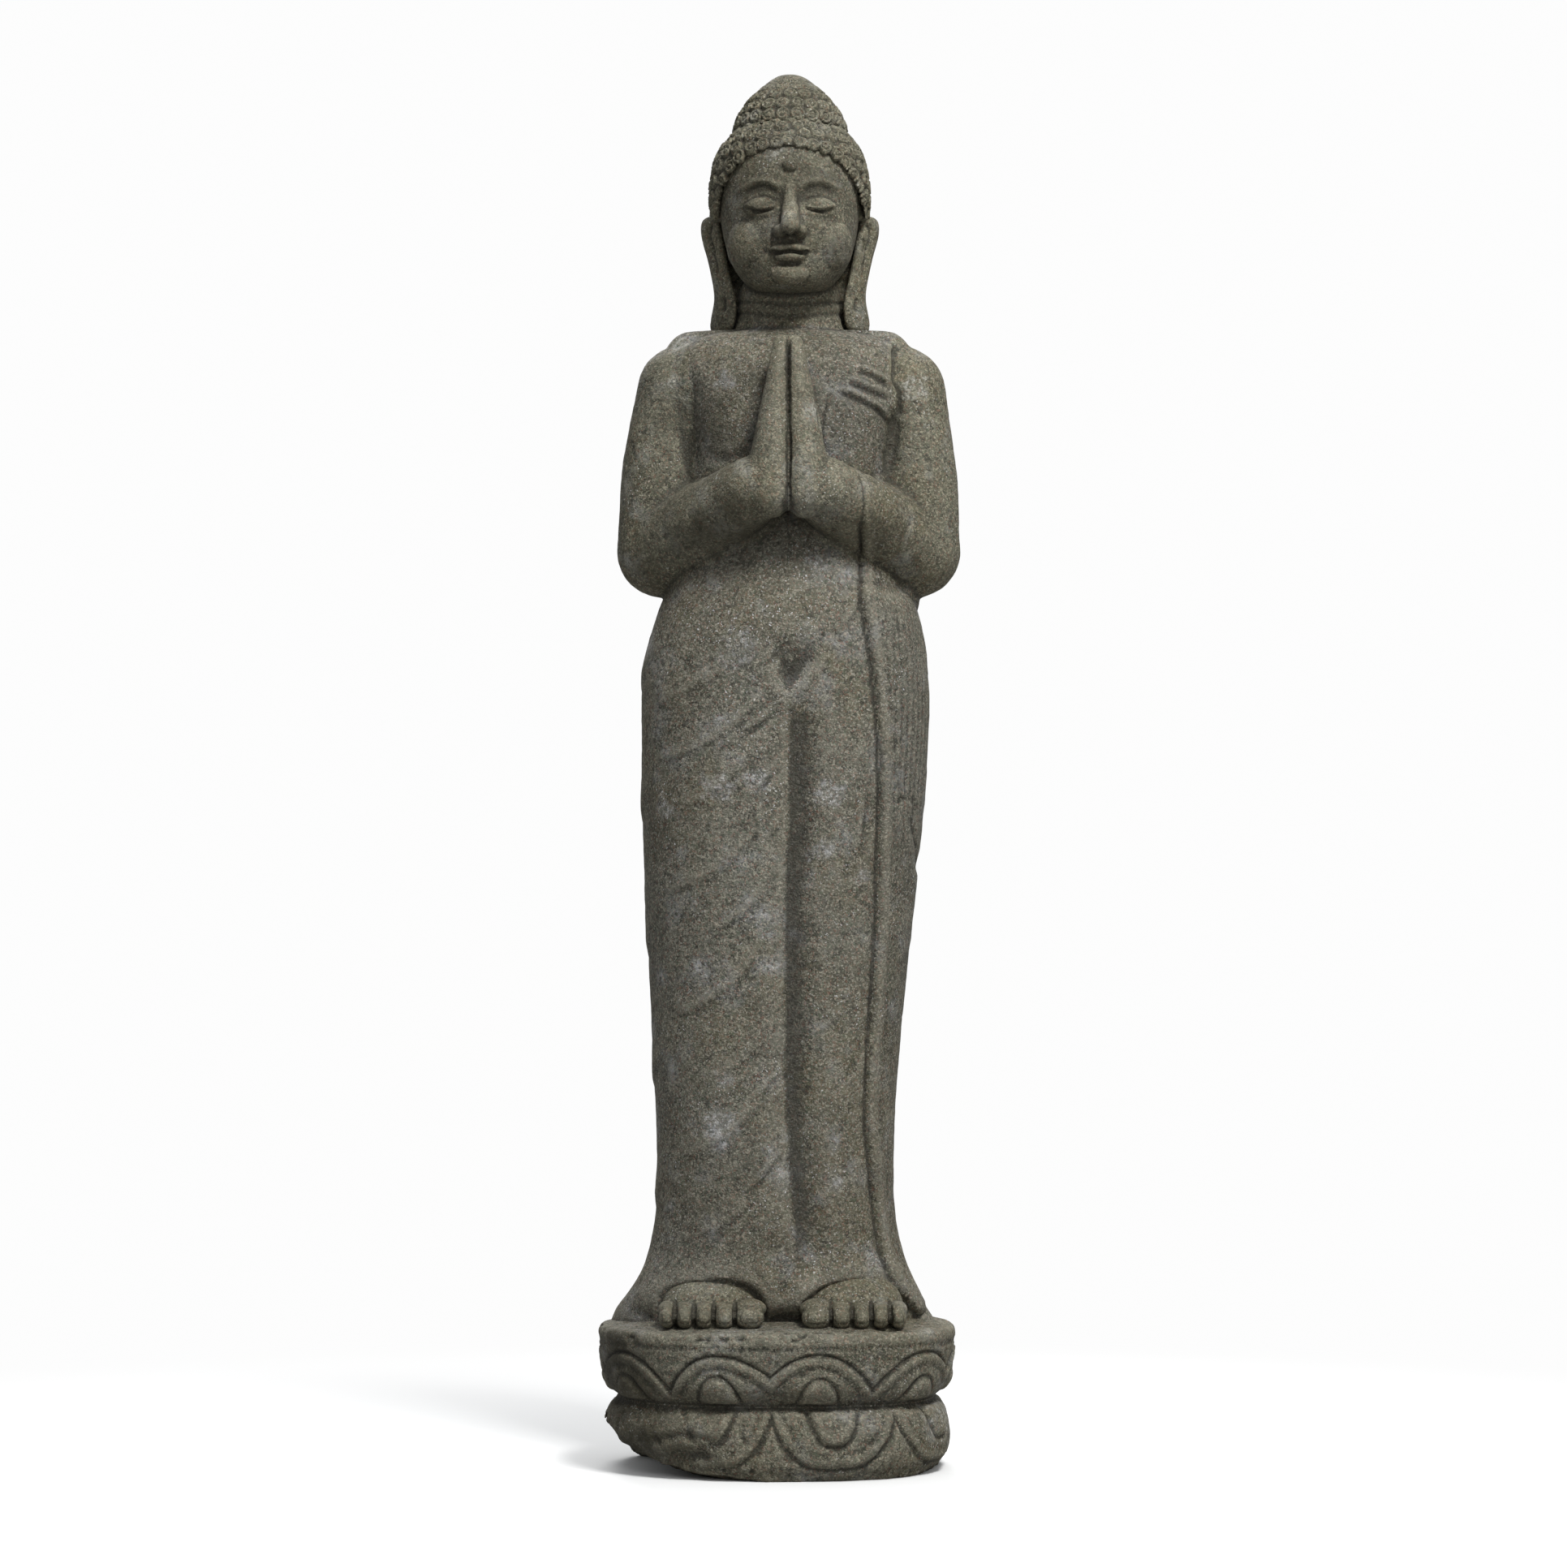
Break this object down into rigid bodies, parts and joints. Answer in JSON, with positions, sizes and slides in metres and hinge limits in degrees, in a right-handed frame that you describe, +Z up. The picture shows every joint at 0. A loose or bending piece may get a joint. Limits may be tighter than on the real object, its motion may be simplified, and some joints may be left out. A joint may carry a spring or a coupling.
{
  "type": "standing buddha statue",
  "caption": "Standing robed figure in carved volcanic stone, palms pressed together, on an oval double lotus base; garden or shrine statue.",
  "frame": {"origin": "middle of the flat underside of the base, on the surface it stands on", "axes": "+Z up; the statue looks along -Y; its own left hand is on the +X side"},
  "size_m": [0.386, 0.344, 1.5],
  "materials": {
    "base_stone": "rough carved, mossy in the recesses",
    "robe_stone": "rough carved, speckled grain",
    "skin_stone": "dressed smoother than the robe, speckled grain",
    "hair_stone": "rough carved, darker"
  },
  "bodies": {
    "root": {"lower_lotus": "base_stone", "upper_lotus": "base_stone", "robe_skirt": "robe_stone", "shawl_end": "robe_stone", "torso": "robe_stone", "head": "skin_stone", "hair": "hair_stone", "topknot": "hair_stone", "forehead_dot": "skin_stone", "right_arm": "skin_stone", "right_hand": "skin_stone", "right_foot": "skin_stone", "right_ear": "skin_stone", "left_arm": "skin_stone", "left_hand": "skin_stone", "left_foot": "skin_stone", "left_ear": "skin_stone"}
  },
  "joints": []
}
